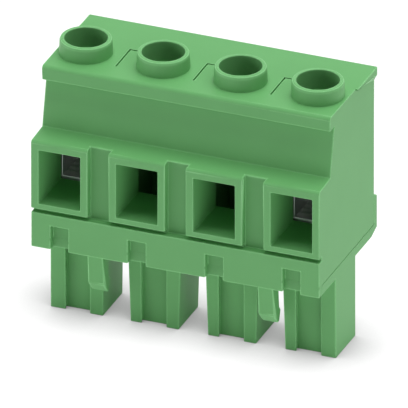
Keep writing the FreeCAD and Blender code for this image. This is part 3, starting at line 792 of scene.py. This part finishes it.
FLOOR_REACH = 1.5
TABLE_WHITE, TABLE_ROUGHNESS, TABLE_GLOW = (0.9, 0.9, 0.9), 0.9, 0.42
PAPER_GREY, PAPER_WHITE = (0.10, 0.10, 0.10), 1.00
SHADOW_REACH = 7 * MM


def seen_directly(nodes, links):
    """A mask that is 1 for the rays of the camera and for what metal or glass shows."""
    paths = nodes.new("ShaderNodeLightPath")
    glossy, through = paths.outputs["Is Glossy Ray"], paths.outputs["Is Transmission Ray"]
    mirrored = combined(nodes, links, "MAXIMUM", glossy, through)
    return combined(nodes, links, "MAXIMUM", paths.outputs["Is Camera Ray"], mirrored)


shape = bmesh.new()
bmesh.ops.create_grid(shape, x_segments=1, y_segments=1, size=FLOOR_REACH)
floor = as_object(shape, "floor")
floor_material, nodes, links = new_material("white_table")
shader = nodes["Principled BSDF"]
shader.inputs["Roughness"].default_value = TABLE_ROUGHNESS
shader.inputs["Specular IOR Level"].default_value = 0.0
shader.inputs["Emission Color"].default_value = (1, 1, 1, 1)
seen = seen_directly(nodes, links)
table_colour = colour_between(nodes, links, seen, TABLE_WHITE, PAPER_GREY)
links.new(table_colour, shader.inputs["Base Color"])
open_sky = nodes.new("ShaderNodeAmbientOcclusion")
open_sky.inputs["Distance"].default_value = SHADOW_REACH
full_shine = between(nodes, links, seen, TABLE_GLOW, PAPER_WHITE)
shine = combined(nodes, links, "MULTIPLY", full_shine, open_sky.outputs["AO"])
links.new(shine, shader.inputs["Emission Strength"])
floor.data.materials.append(floor_material)
print("floor:", 2 * FLOOR_REACH, "m wide")

# %% World
WORLD_LIGHT, WORLD_WHITE = 0.02, 1.0

world = bpy.data.worlds.new("studio")
bpy.context.scene.world = world
world.use_nodes = True
nodes, links = world.node_tree.nodes, world.node_tree.links
background = nodes["Background"]
background.inputs["Color"].default_value = (1, 1, 1, 1)
strength = between(nodes, links, seen_directly(nodes, links), WORLD_LIGHT, WORLD_WHITE)
links.new(strength, background.inputs["Strength"])
print("world:", WORLD_LIGHT, "on the block,", WORLD_WHITE, "to the camera")

# %% [markdown]
# ## Lamps
#
# One soft lamp hangs above the block, one above its back, one stands at the left and two at
# the right. A flat screw head is a small mirror, and it would show the two lamps above as
# plain white, so those two light the block but aren't mirrored in it.

# %% Lamps
BLOCK_MIDDLE = Vector((0, 0, 0.018))


def area_lamp(name, place, size, power, mirrored=True):
    """A square soft lamp that looks at the middle of the block. Only a mirrored one has glare."""
    data = bpy.data.lights.new(name, "AREA")
    data.size = size
    data.energy = power
    lamp = bpy.data.objects.new(name, data)
    lamp.location = place
    lamp.rotation_mode = "QUATERNION"
    lamp.rotation_quaternion = (Vector(place) - BLOCK_MIDDLE).to_track_quat("Z", "Y")
    lamp.visible_glossy = mirrored
    bpy.context.scene.collection.objects.link(lamp)
    print("lamp:", name, power, "W")


# Each lamp's name, its place and the length of its side in metres, and its power in watts.
area_lamp("top_lamp", (0.0, 0.0, 0.45), 0.25, 1.24, mirrored=False)
area_lamp("back_lamp", (0.05, 0.25, 0.40), 0.40, 0.88, mirrored=False)
area_lamp("left_lamp", (-0.45, -0.20, 0.08), 0.30, 1.16)
area_lamp("right_high_lamp", (0.32, 0.02, 0.36), 0.20, 0.34)
area_lamp("right_low_lamp", (0.40, -0.25, 0.06), 0.30, 0.42)

# %% [markdown]
# ## Camera
#
# The photograph was taken from far away, so all parallel edges stay parallel in it. An
# orthographic camera does the same. It looks down at the block's right front corner, and the
# point it looks at is given in millimetres: its height over the floor, and how far the
# picture's middle then lies to the left of it and below it.

# %% Camera
AZIMUTH, ELEVATION = math.radians(21.51), math.radians(27.57)
PIXELS_PER_MM, FRAME_PIXELS = 8.1817, 408
AIM_HEIGHT, AIM_LEFT, AIM_DOWN = 17, 0.187, 1.127
CAMERA_DISTANCE, NEAREST, FARTHEST = 0.4, 0.01, 10

right = Vector((math.cos(AZIMUTH), math.sin(AZIMUTH), 0))
back = Vector((
    math.sin(AZIMUTH) * math.cos(ELEVATION),
    -math.cos(AZIMUTH) * math.cos(ELEVATION),
    math.sin(ELEVATION),
))
up = back.cross(right)
middle = (Vector((0, 0, AIM_HEIGHT)) - AIM_LEFT * right - AIM_DOWN * up) * MM

camera_data = bpy.data.cameras.new("camera")
camera_data.type = "ORTHO"
camera_data.ortho_scale = FRAME_PIXELS / PIXELS_PER_MM * MM
camera_data.clip_start, camera_data.clip_end = NEAREST, FARTHEST
camera = bpy.data.objects.new("camera", camera_data)
camera.location = middle + back * CAMERA_DISTANCE
camera.rotation_mode = "QUATERNION"
camera.rotation_quaternion = back.to_track_quat("Z", "Y")
bpy.context.scene.collection.objects.link(camera)
bpy.context.scene.camera = camera
print("camera: a frame of", round(FRAME_PIXELS / PIXELS_PER_MM, 2), "mm")
